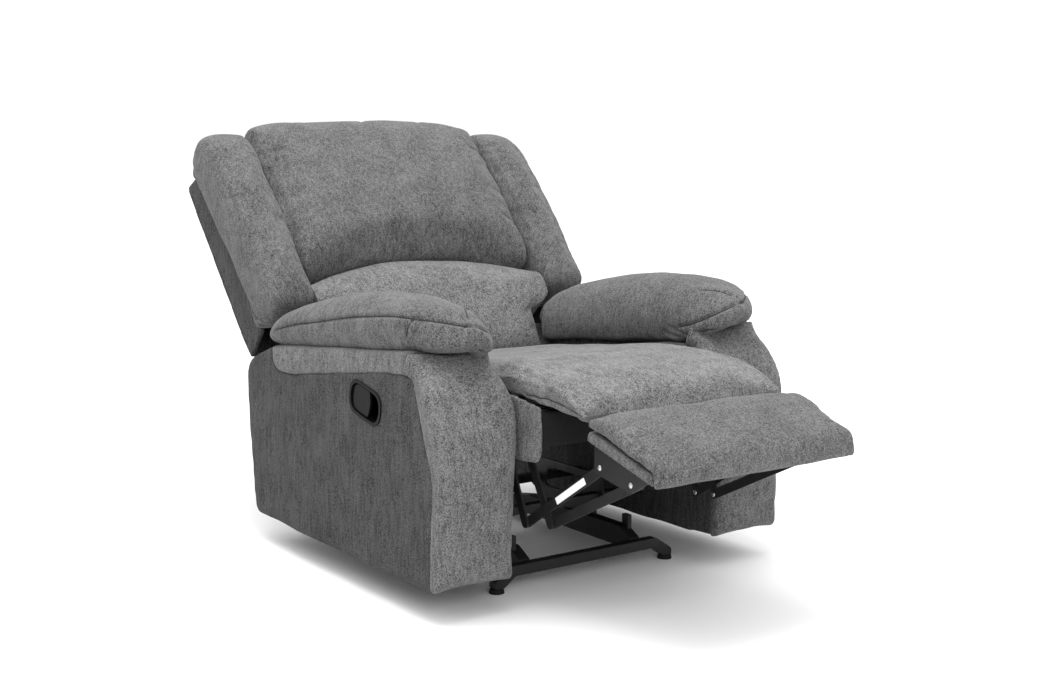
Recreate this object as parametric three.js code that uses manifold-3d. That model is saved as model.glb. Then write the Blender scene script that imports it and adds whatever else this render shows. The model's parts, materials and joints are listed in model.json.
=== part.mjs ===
// A rocker recliner armchair, opened out: back leaned right over, footrest raised.
// Millimetres, +Z up, the front towards -Y, the sitter's left at +X, the floor at z = 0.
// The origin is on the floor under the middle of the opened chair.
import * as THREE from "three";
import { mergeVertices } from "three/addons/utils/BufferGeometryUtils.js";
import Module from "manifold-3d";

const wasm = await Module();
wasm.setup();

// Driving sizes across the chair
const WIDTH = 1000;
const ARM_WIDTH = 207;
const ARM_OUTER = WIDTH / 2;
const ARM_INNER = ARM_OUTER - ARM_WIDTH;
const ARM_BOTTOM = 72;
const SEAT_HALF = 285;
const CHAISE_HALF = 281;
const FOOTREST_HALF = 276;
const BACK_HALF = 460;
const WING_INNER = 357;
const WING_OUTER = 488;
const UPPER_CUSHION_HALF = 353;
const CORNER_INNER = 288;
const BOARD = 10;
const OUTER_BOARD = 12;
const OUTER_RECESS = 4;
const BACK_SKIN = 11;
const DRAPE = 41;
const GAP = 0.3;

// Pivots, as [y, z]
const ROCK_PIVOT = [-30, 390];
const BACK_PIVOT = [210, 360];
const BACK_LEAN = 42;
const CAM_RADIUS = 305;

// Scissor links, as [y, z]: hinge on the seat plate, knee, hinge on the footrest bracket
const MAIN_LINK = { seat: [-320, 412], knee: [-424, 188], foot: [-691, 362] };
const SUPPORT_LINK = { seat: [-368, 430], knee: [-500, 200], foot: [-790, 345] };
const PLATE_OUTER = 260;
const PLATE_INNER = 256;
const LINK_THICKNESS = 5;
const LINK_PITCH = 6;
const LINK_HALF_WIDTH = 11;
const LINK_CLEARANCE = 1;
const RIVET_RADIUS = 7;
const RIVET_HEAD = 0.6;
const ROLLER_PLACES = [-170, 40];
const ROLLER_HEIGHT = 310;

// Base frame
const BASE_BAR_PLACES = { front: -310, rear: 280 };
const BASE_BAR_HALF = 12;
const FOOT_OFFSET = 250;
const FOOT_HEIGHT = 10;
const RAIL_TOP = 83;
const RAIL_BOTTOM = 34;
const CROSSBAR_PLACES = { front: -160, rear: 100 };
const CROSSBAR_BOTTOM = 128;
const CROSSBAR_TOP = 148;

// Release handle, in the outer face of the sitter's right arm
const CUP_CENTRE = [-153, 440];
const CUP_HALF_LENGTH = 66;
const CUP_HALF_HEIGHT = 36;
const CUP_TILT = 12;
const CUP_DEPTH = 42;

const SIDES = { left: 1, right: -1 };
const chair = new THREE.Group();

const look = (colour, roughness, metalness = 0) => ({ color: colour, roughness, metalness });
const FABRIC = look(0x6f6e6c, 0.95);
const SIDE_FABRIC = look(0x5f5e5c, 0.95);
const WOOD = look(0xb08a5c, 0.8);
const STEEL = look(0x17181a, 0.45, 0.7);
const LINING = look(0x151515, 0.95);
const PLASTIC = look(0x101011, 0.4);
const RUBBER = look(0x0d0d0d, 0.7);

function addPiece(name, geometry, appearance, parent = chair) {
  const piece = new THREE.Mesh(geometry, new THREE.MeshStandardMaterial(appearance));
  piece.name = name;
  parent.add(piece);
  return piece;
}

// A closed outline through [p, q] corners; a third number in a corner is its own rounding.
function outline(corners, rounding = 0) {
  const shape = new THREE.Shape();
  const at = (i) => new THREE.Vector2(...corners.at(i % corners.length).slice(0, 2));
  corners.forEach(([p, q, radius = rounding], i) => {
    const corner = at(i);
    const towards = (other) => corner.clone().lerp(other, Math.min(0.49, radius / corner.distanceTo(other)));
    const start = towards(at(i - 1));
    const end = towards(at(i + 1));
    if (i === 0) shape.moveTo(start.x, start.y);
    else shape.lineTo(start.x, start.y);
    if (radius > 0) shape.quadraticCurveTo(p, q, end.x, end.y);
  });
  shape.closePath();
  return shape;
}

function extrude(shape, from, to, bevel, matrix, curveSegments) {
  const geometry = new THREE.ExtrudeGeometry(shape, {
    depth: to - from - 2 * bevel,
    curveSegments,
    bevelEnabled: bevel > 0,
    bevelThickness: bevel,
    bevelSize: bevel,
    bevelOffset: -bevel,
    bevelSegments: 1,
  });
  return geometry.translate(0, 0, from + bevel).applyMatrix4(matrix);
}

// Outlines in (y, z) run across the chair; outlines in (x, z) run along it.
const ACROSS = new THREE.Matrix4().set(0, 0, 1, 0, 1, 0, 0, 0, 0, 1, 0, 0, 0, 0, 0, 1);
const ALONG = new THREE.Matrix4().set(1, 0, 0, 0, 0, 0, -1, 0, 0, 1, 0, 0, 0, 0, 0, 1);

// Extrudes a (y, z) outline between two distances from the middle, on one side or centred.
function across(shape, from, to, { side = 1, bevel = 0, steps = 3 } = {}) {
  const [low, high] = side > 0 ? [from, to] : [-to, -from];
  return extrude(shape, low, high, bevel, ACROSS, steps);
}

const along = (shape, from, to) => extrude(shape, -to, -from, 0, ALONG, 3);

function box(width, depth, height, x, y, z) {
  return new THREE.BoxGeometry(width, depth, height).translate(x, y, z);
}

function pin(radius, from, to, [y, z], side, segments = 12) {
  const geometry = new THREE.CylinderGeometry(radius, radius, to - from, segments).rotateZ(Math.PI / 2);
  return geometry.translate((side * (from + to)) / 2, y, z);
}

function solid(geometry) {
  const plain = geometry.clone();
  plain.deleteAttribute("normal");
  plain.deleteAttribute("uv");
  const merged = mergeVertices(plain, 1e-3);
  const vertProperties = new Float32Array(merged.attributes.position.array);
  return new wasm.Manifold(new wasm.Mesh({
    numProp: 3,
    vertProperties,
    triVerts: new Uint32Array(merged.index.array),
  }));
}

function geometryOf(manifold) {
  const { vertProperties, triVerts } = manifold.getMesh();
  const geometry = new THREE.BufferGeometry();
  geometry.setAttribute("position", new THREE.BufferAttribute(vertProperties, 3));
  geometry.setIndex(new THREE.BufferAttribute(triVerts, 1));
  const flat = geometry.toNonIndexed();
  flat.computeVertexNormals();
  return flat;
}

const join = (...geometries) => geometryOf(geometries.map(solid).reduce((a, b) => a.add(b)));
const cut = (body, ...tools) => geometryOf(tools.map(solid).reduce((a, b) => a.subtract(b), solid(body)));

// Base: two floor bars raised in the middle, two rails and four foot caps
function addBase() {
  const footHalf = 12;
  const end = FOOT_OFFSET + footHalf;
  const barTop = RAIL_BOTTOM + 24;
  const bottom = FOOT_HEIGHT + GAP;
  const bar = outline([
    [-end, bottom], [-FOOT_OFFSET + footHalf, bottom], [-205, RAIL_BOTTOM], [205, RAIL_BOTTOM],
    [FOOT_OFFSET - footHalf, bottom], [end, bottom], [end, 26], [215, barTop], [-215, barTop], [-end, 26],
  ], 5);
  for (const [place, y] of Object.entries(BASE_BAR_PLACES)) {
    addPiece(`base_bar_${place}`, along(bar, y - BASE_BAR_HALF, y + BASE_BAR_HALF), STEEL);
  }
  const front = BASE_BAR_PLACES.front + BASE_BAR_HALF + GAP;
  const rear = BASE_BAR_PLACES.rear - BASE_BAR_HALF - GAP;
  const rail = outline([
    [front, RAIL_BOTTOM], [rear, RAIL_BOTTOM], [rear, 60], [130, RAIL_TOP], [-255, RAIL_TOP], [front, 60],
  ], 4);
  for (const [name, side] of Object.entries(SIDES)) {
    const uprights = [[-257, 110], [-120, 103]].map(([y, top]) => (
      box(12, 22, top - RAIL_BOTTOM, side * 173, y, (top + RAIL_BOTTOM) / 2)));
    addPiece(`base_rail_${name}`, join(across(rail, 149, 179, { side }), ...uprights), STEEL);
    for (const [place, y] of Object.entries(BASE_BAR_PLACES)) {
      const cap = new THREE.CylinderGeometry(16, 18, FOOT_HEIGHT, 18).rotateX(Math.PI / 2);
      addPiece(`foot_${place}_${name}`, cap.translate(side * FOOT_OFFSET, y, FOOT_HEIGHT / 2), RUBBER);
    }
  }
}

// Rocking frame: two curved cams that roll on the rails, two crossbars and the slide tracks
function addRockingFrame() {
  const [y0, z0] = ROCK_PIVOT;
  const halfAngle = THREE.MathUtils.degToRad(32);
  const cam = new THREE.Shape();
  cam.absarc(y0, z0, CAM_RADIUS, -Math.PI / 2 - halfAngle, -Math.PI / 2 + halfAngle, false);
  cam.lineTo(y0 + 150, 196);
  cam.lineTo(y0 - 150, 196);
  cam.closePath();
  const holes = Object.values(CROSSBAR_PLACES).map((y) => box(
    40, 24 + 2 * GAP, CROSSBAR_TOP - CROSSBAR_BOTTOM + 2 * GAP, 0, y, (CROSSBAR_TOP + CROSSBAR_BOTTOM) / 2));
  holes.push(across(outline([[y0 - 85, 125], [y0 + 85, 125], [y0 + 70, 176], [y0 - 70, 176]], 14), -20, 20));
  for (const [name, side] of Object.entries(SIDES)) {
    const tools = holes.map((hole) => hole.clone().translate(side * 155, 0, 0));
    addPiece(`rocker_cam_${name}`, cut(across(cam, 152, 158, { side, steps: 12 }), ...tools), STEEL);
  }
  for (const [place, y] of Object.entries(CROSSBAR_PLACES)) {
    const height = CROSSBAR_TOP - CROSSBAR_BOTTOM;
    const bar = box(2 * (ARM_INNER - GAP), 24, height, 0, y, CROSSBAR_BOTTOM + height / 2);
    addPiece(`frame_crossbar_${place}`, bar, STEEL);
  }
  const wall = ARM_INNER - GAP;
  const channel = (side) => outline([
    [264, 295], [wall, 295], [wall, 325], [264, 325],
    [264, 322], [wall - 4, 322], [wall - 4, 298], [264, 298],
  ].map(([x, z]) => [side * x, z]));
  for (const [name, side] of Object.entries(SIDES)) {
    addPiece(`slide_track_${name}`, along(channel(side), -270, 270), STEEL);
  }
}

// A point in the cup's own frame: u along it towards the rear, v up across it
function cupPoint(u, v) {
  const angle = THREE.MathUtils.degToRad(CUP_TILT);
  const [y, z] = CUP_CENTRE;
  return [y + u * Math.cos(angle) - v * Math.sin(angle), z + u * Math.sin(angle) + v * Math.cos(angle)];
}

function cupOutline(inset, grow = 0) {
  const u = CUP_HALF_LENGTH - inset + grow;
  const v = CUP_HALF_HEIGHT - inset + grow;
  const corners = [[-u, -v], [u, -v], [u, v], [-u, v]].map(([a, b]) => cupPoint(a, b));
  return outline(corners, CUP_HALF_HEIGHT - inset);
}

// Arms: side, rear and top boards, the padded front and the pillow on top
function addArms() {
  const sideBoard = outline([
    [-416, ARM_BOTTOM], [0, ARM_BOTTOM - 8, 200], [407, ARM_BOTTOM], [433, 255, 90], [445, 435, 20],
    [424, 463, 12], [306, 512], [284, 452], [-310, 518], [-346, 521], [-420, 317],
  ], 2);
  const rearBoard = outline([
    [395, 72.5], [406, 72.5], [432, 255, 90], [444, 435],
    [423, 462.5], [308, 511.5], [304.5, 503], [416, 454],
    [433, 433], [421, 255, 90],
  ]);
  const topBoard = outline([[282, 454.5], [304, 513], [-325, 574], [-311, 521]], 3);
  const drape = outline([[282, 454.5], [304, 530], [-321, 590], [-311, 521]], 3);
  const frontPad = outline([
    [-437, ARM_BOTTOM, 6], [-446, 250, 40], [-452, 354, 40],
    [-438, 446, 30], [-402, 498, 20], [-358, 538, 10],
    [-329, 571, 6], [-315.5, 522.5, 6], [-350, 522.5], [-421.5, 318], [-416.8, ARM_BOTTOM, 6],
  ]);
  const pillow = outline([
    [350, 517, 16], [338, 562, 25], [150, 638, 60], [0, 668, 60], [-160, 684, 60], [-350, 672, 40],
    [-422, 640, 30], [-434, 600, 20], [-420, 562, 14], [-380, 557, 20], [-327, 580, 20],
  ]);
  const outerBoard = ARM_OUTER - OUTER_RECESS - OUTER_BOARD;
  for (const [name, side] of Object.entries(SIDES)) {
    let outer = across(sideBoard, outerBoard, outerBoard + OUTER_BOARD, { side });
    if (name === "right") outer = cut(outer, across(cupOutline(0, GAP), 470, 510, { side, steps: 5 }));
    addPiece(`arm_outer_${name}`, outer, SIDE_FABRIC);
    addPiece(`arm_inner_${name}`, across(sideBoard, ARM_INNER, ARM_INNER + BOARD, { side }), SIDE_FABRIC);
    const rear = across(rearBoard, ARM_INNER + BOARD + GAP, outerBoard - GAP, { side });
    addPiece(`arm_rear_${name}`, rear, SIDE_FABRIC);
    const top = across(topBoard, ARM_INNER + DRAPE + GAP, ARM_OUTER - 1, { side });
    addPiece(`arm_top_${name}`, top, FABRIC);
    addPiece(`arm_front_pad_${name}`, across(frontPad, ARM_INNER, ARM_OUTER, { side, bevel: 1.5 }), FABRIC);
    const cushion = across(pillow, ARM_INNER + 1, ARM_OUTER, { side, bevel: 3 });
    const skirt = across(drape, ARM_INNER + 1, ARM_INNER + DRAPE, { side });
    addPiece(`arm_pillow_${name}`, join(cushion, skirt), FABRIC);
  }
}

// Release handle: an open-fronted cup in the arm and a lever flap hinged at the cup's rear
function addReleaseHandle() {
  const wall = 3;
  const mouth = ARM_OUTER - OUTER_RECESS + GAP;
  const side = SIDES.right;
  const cup = across(cupOutline(0), mouth - CUP_DEPTH, mouth + 1, { side, steps: 5 });
  const rim = across(cupOutline(0, 4), mouth, mouth + 2.5, { side, steps: 5 });
  const hollow = across(cupOutline(wall), mouth - CUP_DEPTH + wall, mouth + 10, { side, steps: 5 });
  addPiece("release_cup", cut(join(cup, rim), hollow), PLASTIC);
  const [rear, front, half] = [CUP_HALF_LENGTH - 12, -20, CUP_HALF_HEIGHT - 6];
  const flap = outline([
    [...cupPoint(rear, -half), 24], [...cupPoint(rear, half), 24], [...cupPoint(front + 6, half), 4],
    [...cupPoint(front - 2, 0), 30], [...cupPoint(front + 6, -half), 4],
  ]);
  const barrel = new THREE.CylinderGeometry(4, 4, 30, 12);
  barrel.rotateX(THREE.MathUtils.degToRad(90 + CUP_TILT));
  const [y, z] = cupPoint(rear - 3, 0);
  barrel.translate(side * (ARM_OUTER - 10), y, z);
  const plate = across(flap, ARM_OUTER - 9, ARM_OUTER - 4, { side, steps: 4 });
  addPiece("release_lever", join(plate, barrel), PLASTIC);
}

// Seat: mechanism plates with rollers, side boards, rails, springs and the cushion
function addSeat() {
  const cushionBottom = (y) => 455 - (y + 512) * 0.0732;
  const plate = outline([
    [-484, 450], [-484, 400], [-205, 385], [-192, 296.5], [-148, 296.5], [-135, 372], [5, 368], [18, 296.5],
    [62, 296.5], [90, 330], [212, 335], [236, 360], [222, 385], [180, 402],
  ], 8);
  const cheek = outline([
    [-517, 453, 2], [-517, 362, 20], [-505, 340, 20], [-450, 335], [60, 335], [60, cushionBottom(60) - 2],
  ]);
  for (const [name, side] of Object.entries(SIDES)) {
    const rollers = ROLLER_PLACES.map((y) => pin(10.5, PLATE_INNER + 1, 286, [y, ROLLER_HEIGHT], side));
    const body = join(across(plate, PLATE_INNER, PLATE_OUTER, { side }), ...rollers);
    addPiece(`mechanism_plate_${name}`, body, STEEL);
    addPiece(`seat_side_${name}`, across(cheek, 275, 284, { side }), SIDE_FABRIC);
  }
  addPiece("seat_front_rail", box(549.4, 26, 78, 0, -499, 411), LINING);
  addPiece("seat_rear_rail", box(2 * (PLATE_INNER - GAP), 25, 33, 0, 150.5, 386.5), WOOD);
  addPiece("seat_springs", springDeck([-485.7, 137.7], cushionBottom), STEEL);
  const cushion = outline([
    [-512, 519, 14], [-440, 531, 20], [-350, 530, 60], [-164, 505], [-4, 486], [168, 462], [198, 457, 14],
    [198, cushionBottom(198), 14], [-512, cushionBottom(-512), 14],
  ], 40);
  addPiece("seat_cushion", across(cushion, -SEAT_HALF, SEAT_HALF, { bevel: 3 }), FABRIC);
}

function springDeck([front, rear], cushionBottom) {
  const [wire, drop] = [4, 8];
  const low = (y) => cushionBottom(y) - drop;
  const strip = outline([
    [front, low(front)], [rear, low(rear)], [rear, low(rear) + wire], [front, low(front) + wire],
  ]);
  const pieces = [];
  for (let x = -225; x <= 225; x += 90) pieces.push(across(strip, x - wire / 2, x + wire / 2));
  for (const y of [-360, -220, -80, 60]) pieces.push(box(450, wire, wire, 0, y, low(y) + wire / 2));
  return join(...pieces);
}

// Back, in its own leaning frame: p runs up the back, q out of it towards the sitter
function addBack() {
  const back = new THREE.Group();
  back.position.set(0, ...BACK_PIVOT);
  back.rotation.x = THREE.MathUtils.degToRad(90 - BACK_LEAN);
  chair.add(back);
  addPiece("back_panel", box(2 * BACK_HALF, 566, 12, 0, 551, -157), SIDE_FABRIC, back);
  const sideBoard = outline([[268, -150.7], [281, -52], [811, -70], [834, -150.7]]);
  const wing = outline([
    [290, -50, 8], [276, 60, 20], [286, 112, 24], [400, 126, 60],
    [640, 130, 60], [784, 108, 30], [846, 58, 20],
    [838, -20, 14], [812, -68, 8],
  ]);
  const bracket = outline([
    [-16, -14], [-14, 14], [14, 14], [70, -40], [100, -61.5], [400, -61.5], [400, -92], [84, -92], [16, -22],
  ], 6);
  for (const [name, side] of Object.entries(SIDES)) {
    const sideSkin = across(sideBoard, BACK_HALF - BACK_SKIN, BACK_HALF, { side });
    addPiece(`back_side_${name}`, sideSkin, SIDE_FABRIC, back);
    addPiece(`back_wing_${name}`, across(wing, WING_INNER, WING_OUTER, { side, bevel: 2 }), FABRIC, back);
    const plate = across(bracket, PLATE_INNER - LINK_THICKNESS - GAP, PLATE_INNER - GAP, { side });
    addPiece(`back_bracket_${name}`, plate, STEEL, back);
  }
  const board = outline([
    [-282, 105], [282, 105], [282, 292], [345, 292], [345, 800], [-345, 800], [-345, 292], [-282, 292],
  ]);
  addPiece("back_board", extrude(board, -61, -51, 0, new THREE.Matrix4(), 1), WOOD, back);
  const lumbar = outline([
    [102, -47, 8], [102, 26, 14], [168, 54, 30], [262, 66, 30], [337, 92, 12], [337, -47, 8],
  ]);
  addPiece("lumbar_cushion", across(lumbar, -SEAT_HALF, SEAT_HALF, { bevel: 2 }), FABRIC, back);
  const upper = outline([
    [346, -47, 8], [346, 104, 20], [450, 128, 60], [700, 132, 60],
    [820, 116, 30], [868, 76, 24], [862, 10, 20],
    [808, -47, 8],
  ]);
  const corner = outline([[292, -46, 8], [292, 73, 10], [360, 90, 12], [360, -46, 8]]);
  const corners = Object.values(SIDES).map((side) => {
    return across(corner, CORNER_INNER, UPPER_CUSHION_HALF, { side, bevel: 2 });
  });
  const top = across(upper, -UPPER_CUSHION_HALF, UPPER_CUSHION_HALF, { bevel: 2 });
  addPiece("upper_cushion", join(top, ...corners), FABRIC, back);
}

// Footrest: a wrapped board, its pad, the chaise pad behind it and two link brackets
function addFootrest() {
  const board = outline([[-669, 438.5], [-662, 415], [-881, 355], [-889.2, 366], [-889, 378]], 5);
  const pad = outline([
    [-671.8, 440.5], [-672.5, 460], [-842, 420, 16], [-889, 397, 8], [-889, 381.8, 3],
  ], 4);
  const chaise = outline([
    [-530, 511, 16], [-530, 457, 10], [-600, 454, 20], [-669, 443.5, 3], [-671, 459.7, 5],
  ]);
  addPiece("footrest_board", across(board, -FOOTREST_HALF + 2, FOOTREST_HALF - 2, { bevel: 1 }), FABRIC);
  addPiece("footrest_pad", across(pad, -FOOTREST_HALF, FOOTREST_HALF, { bevel: 1 }), FABRIC);
  addPiece("chaise_pad", across(chaise, -CHAISE_HALF, CHAISE_HALF, { bevel: 1 }), FABRIC);
  const bracket = outline([
    [-674, 411.2], [-674, 352], [-695, 345], [-790, 328], [-808, 338], [-850, 362.8],
  ], 8);
  for (const [name, side] of Object.entries(SIDES)) {
    addPiece(`footrest_bracket_${name}`, across(bracket, PLATE_INNER, PLATE_OUTER, { side }), STEEL);
  }
}

// One scissor bar in its own layer inside the plates, with bosses that reach out to what they turn on
function linkBar(start, end, layer, side, bosses) {
  const outer = PLATE_INNER - LINK_CLEARANCE - (layer - 1) * LINK_PITCH;
  const [[y0, z0], [y1, z1]] = [start, end];
  const angle = Math.atan2(z1 - z0, y1 - y0);
  const shape = new THREE.Shape();
  shape.absarc(y0, z0, LINK_HALF_WIDTH, angle + Math.PI / 2, angle + 1.5 * Math.PI, false);
  shape.absarc(y1, z1, LINK_HALF_WIDTH, angle - Math.PI / 2, angle + Math.PI / 2, false);
  shape.closePath();
  const bar = across(shape, outer - LINK_THICKNESS, outer, { side, steps: 5 });
  const head = outer - LINK_THICKNESS - RIVET_HEAD;
  const rivets = bosses.map(([place, reach]) => pin(RIVET_RADIUS, head, reach - GAP, place, side));
  return join(bar, ...rivets);
}

function addLinks() {
  const firstFace = PLATE_INNER - LINK_CLEARANCE - LINK_THICKNESS;
  const layerFace = (layer) => firstFace - (layer - 1) * LINK_PITCH;
  for (const [name, side] of Object.entries(SIDES)) {
    const { seat, knee, foot } = MAIN_LINK;
    addPiece(`main_link_rear_${name}`, linkBar(seat, knee, 1, side, [[seat, PLATE_INNER]]), STEEL);
    const front = linkBar(knee, foot, 2, side, [[knee, layerFace(1)], [foot, PLATE_INNER]]);
    addPiece(`main_link_front_${name}`, front, STEEL);
    const other = SUPPORT_LINK;
    const rear = linkBar(other.seat, other.knee, 3, side, [[other.seat, PLATE_INNER]]);
    addPiece(`support_link_rear_${name}`, rear, STEEL);
    const bosses = [[other.knee, layerFace(3)], [other.foot, PLATE_INNER]];
    const last = linkBar(other.knee, other.foot, 4, side, bosses);
    addPiece(`support_link_front_${name}`, last, STEEL);
  }
  const reach = firstFace - GAP - RIVET_HEAD;
  addPiece("torque_tube", pin(RIVET_RADIUS, -reach, reach, MAIN_LINK.seat, 1, 16), STEEL);
}

addBase();
addRockingFrame();
addArms();
addReleaseHandle();
addSeat();
addBack();
addFootrest();
addLinks();

export default chair;
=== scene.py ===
"""Recliner armchair, opened out: upholstery, stitching, paint and a pale studio for the CAD frame."""
import json
import math

import bpy
import bmesh
import numpy as np
from mathutils import Matrix, Vector, kdtree, noise


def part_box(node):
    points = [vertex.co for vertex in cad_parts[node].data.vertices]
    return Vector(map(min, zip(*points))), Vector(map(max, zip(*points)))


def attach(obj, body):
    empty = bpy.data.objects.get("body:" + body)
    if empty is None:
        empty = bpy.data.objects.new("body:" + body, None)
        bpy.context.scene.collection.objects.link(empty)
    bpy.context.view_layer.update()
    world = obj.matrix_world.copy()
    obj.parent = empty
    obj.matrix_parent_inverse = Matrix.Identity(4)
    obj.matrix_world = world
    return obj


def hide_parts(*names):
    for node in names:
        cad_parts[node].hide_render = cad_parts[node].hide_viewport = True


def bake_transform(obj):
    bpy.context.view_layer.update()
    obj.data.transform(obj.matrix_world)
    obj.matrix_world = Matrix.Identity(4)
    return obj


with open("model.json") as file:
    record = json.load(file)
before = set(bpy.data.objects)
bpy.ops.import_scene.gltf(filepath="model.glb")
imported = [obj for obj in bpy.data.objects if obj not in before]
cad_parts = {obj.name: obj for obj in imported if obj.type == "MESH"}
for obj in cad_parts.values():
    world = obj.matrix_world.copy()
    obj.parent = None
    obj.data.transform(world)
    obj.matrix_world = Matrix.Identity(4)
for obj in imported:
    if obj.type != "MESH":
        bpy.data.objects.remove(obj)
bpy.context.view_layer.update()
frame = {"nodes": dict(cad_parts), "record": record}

SIDES = {"left": 1, "right": -1}
VOXEL = 0.006
THREAD_RADIUS = 0.0008
RANGE_KEYS = ("From Min", "From Max", "To Min", "To Max")

# The back at rest: its hinge line in (y, z), its lean from upright and the directions it gives.
BACK_PIVOT = np.array([0.210, 0.360])
BACK_LEAN = math.radians(42)
ACROSS = np.array([1.0, 0.0, 0.0])
ALONG = np.array([0.0, 1.0, 0.0])
UPWARD = np.array([0.0, 0.0, 1.0])
UP_BACK = np.array([0.0, math.sin(BACK_LEAN), math.cos(BACK_LEAN)])
OUT_OF_BACK = np.array([0.0, -math.cos(BACK_LEAN), math.sin(BACK_LEAN)])


# ---------------------------------------------------------------- camera and light

CAMERA_PLACE = (-2.1319, -3.0395, 1.0442)
CAMERA_YAW_PITCH_ROLL = (35.33, 8.34, 0.19)
CAMERA_LENS = 51.86
TOWARDS_BACKDROP = (0.578, 0.816, 0)


def add_camera():
    data = bpy.data.cameras.new("camera")
    data.lens = CAMERA_LENS
    data.sensor_width = 36
    data.shift_x = 0.0081
    data.shift_y = -0.0006
    camera = bpy.data.objects.new("camera", data)
    bpy.context.collection.objects.link(camera)
    yaw, pitch, roll = (math.radians(a) for a in CAMERA_YAW_PITCH_ROLL)
    heading = Matrix.Rotation(-yaw, 4, "Z")
    tilt = Matrix.Rotation(math.pi / 2 - pitch, 4, "X")
    turn = heading @ tilt @ Matrix.Rotation(roll, 4, "Z")
    camera.matrix_world = Matrix.Translation(CAMERA_PLACE) @ turn
    bpy.context.scene.camera = camera


def add_area(name, place, target, size, power):
    data = bpy.data.lights.new(name, "AREA")
    data.shape = "DISK"
    data.size = size
    data.energy = power
    lamp = bpy.data.objects.new(name, data)
    lamp.location = place
    lamp.rotation_euler = (Vector(target) - Vector(place)).to_track_quat("-Z", "Y").to_euler()
    bpy.context.collection.objects.link(lamp)


def add_sky():
    """Bright overhead and dim low down, but plain white behind the chair and at the horizon."""
    world = bpy.data.worlds.new("studio")
    world.use_nodes = True
    tree = world.node_tree
    background = tree.nodes["Background"]
    background.inputs["Color"].default_value = (1, 1, 1, 1)
    where = tree.nodes.new("ShaderNodeTexCoord")
    split = tree.nodes.new("ShaderNodeSeparateXYZ")
    behind = tree.nodes.new("ShaderNodeVectorMath")
    behind.operation = "DOT_PRODUCT"
    behind.inputs[1].default_value = TOWARDS_BACKDROP
    overhead = tree.nodes.new("ShaderNodeMapRange")
    backdrop = tree.nodes.new("ShaderNodeMapRange")
    horizon = tree.nodes.new("ShaderNodeMapRange")
    ranges = ((overhead, (0.05, 0.8, 0.14, 1.85)), (backdrop, (0.45, 0.65, 0.0, 1.02)),
              (horizon, (0.05, 0.10, 1.02, 0.0)))
    for node, values in ranges:
        for key, value in zip(RANGE_KEYS, values):
            node.inputs[key].default_value = value
    brighter, brightest = (tree.nodes.new("ShaderNodeMath") for _ in range(2))
    brighter.operation = brightest.operation = "MAXIMUM"
    tree.links.new(where.outputs["Generated"], split.inputs[0])
    tree.links.new(where.outputs["Generated"], behind.inputs[0])
    tree.links.new(split.outputs["Z"], overhead.inputs["Value"])
    tree.links.new(behind.outputs["Value"], backdrop.inputs["Value"])
    tree.links.new(overhead.outputs["Result"], brighter.inputs[0])
    tree.links.new(backdrop.outputs["Result"], brighter.inputs[1])
    tree.links.new(split.outputs["Z"], horizon.inputs["Value"])
    tree.links.new(brighter.outputs[0], brightest.inputs[0])
    tree.links.new(horizon.outputs["Result"], brightest.inputs[1])
    tree.links.new(brightest.outputs[0], background.inputs["Strength"])
    bpy.context.scene.world = world


def add_studio():
    add_sky()
    bpy.context.scene.view_settings.view_transform = "Standard"
    add_area("top", (-0.5, -0.1, 3.4), (0, -0.1, 0.3), 2.6, 85)
    add_area("front", (-1.5, -3.7, 1.9), (0, -0.2, 0.5), 1.5, 46)
    bpy.ops.mesh.primitive_circle_add(vertices=96, radius=40, fill_type="NGON", location=(0, 0, -0.0005))
    floor = bpy.context.object
    floor.name = "floor"
    floor.data.materials.append(floor_material())


# ---------------------------------------------------------------- materials

class Nodes:
    """A small builder for one material's nodes."""

    def __init__(self, name):
        self.material = bpy.data.materials.new(name)
        self.material.use_nodes = True
        self.tree = self.material.node_tree
        self.shader = self.tree.nodes["Principled BSDF"]

    def add(self, kind, **inputs):
        node = self.tree.nodes.new(kind)
        for key, value in inputs.items():
            if key in node.inputs:
                node.inputs[key].default_value = value
            else:
                setattr(node, key, value)
        return node

    def link(self, source, target):
        self.tree.links.new(source, target)

    def noise(self, scale, detail=2.0, stretch=(1, 1, 1), rough=0.5):
        where = self.add("ShaderNodeTexCoord")
        mapping = self.add("ShaderNodeMapping", Scale=stretch)
        texture = self.add("ShaderNodeTexNoise", Scale=scale, Detail=detail, Roughness=rough)
        self.link(where.outputs["Object"], mapping.inputs["Vector"])
        self.link(mapping.outputs["Vector"], texture.inputs["Vector"])
        return texture.outputs["Fac"]

    def spread(self, source, low, high, to_low, to_high):
        node = self.add("ShaderNodeMapRange", clamp=True)
        for key, value in zip(RANGE_KEYS, (low, high, to_low, to_high)):
            node.inputs[key].default_value = value
        self.link(source, node.inputs["Value"])
        return node.outputs["Result"]

    def maths(self, operation, a, b):
        node = self.add("ShaderNodeMath", operation=operation)
        for socket, value in zip(node.inputs, (a, b)):
            if isinstance(value, (int, float)):
                socket.default_value = value
            else:
                self.link(value, socket)
        return node.outputs[0]

    def mix(self, factor, first, second):
        node = self.add("ShaderNodeMix", data_type="RGBA")
        self.link(factor, node.inputs["Factor"])
        for key, colour in ((6, first), (7, second)):
            if isinstance(colour, tuple):
                node.inputs[key].default_value = (*colour, 1)
            else:
                self.link(colour, node.inputs[key])
        return node.outputs[2]

    def bump(self, height, strength, distance):
        node = self.add("ShaderNodeBump", Strength=strength, Distance=distance)
        self.link(height, node.inputs["Height"])
        self.link(node.outputs["Normal"], self.shader.inputs["Normal"])

    def set(self, **values):
        for key, value in values.items():
            self.shader.inputs[key.replace("_", " ")].default_value = value


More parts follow.
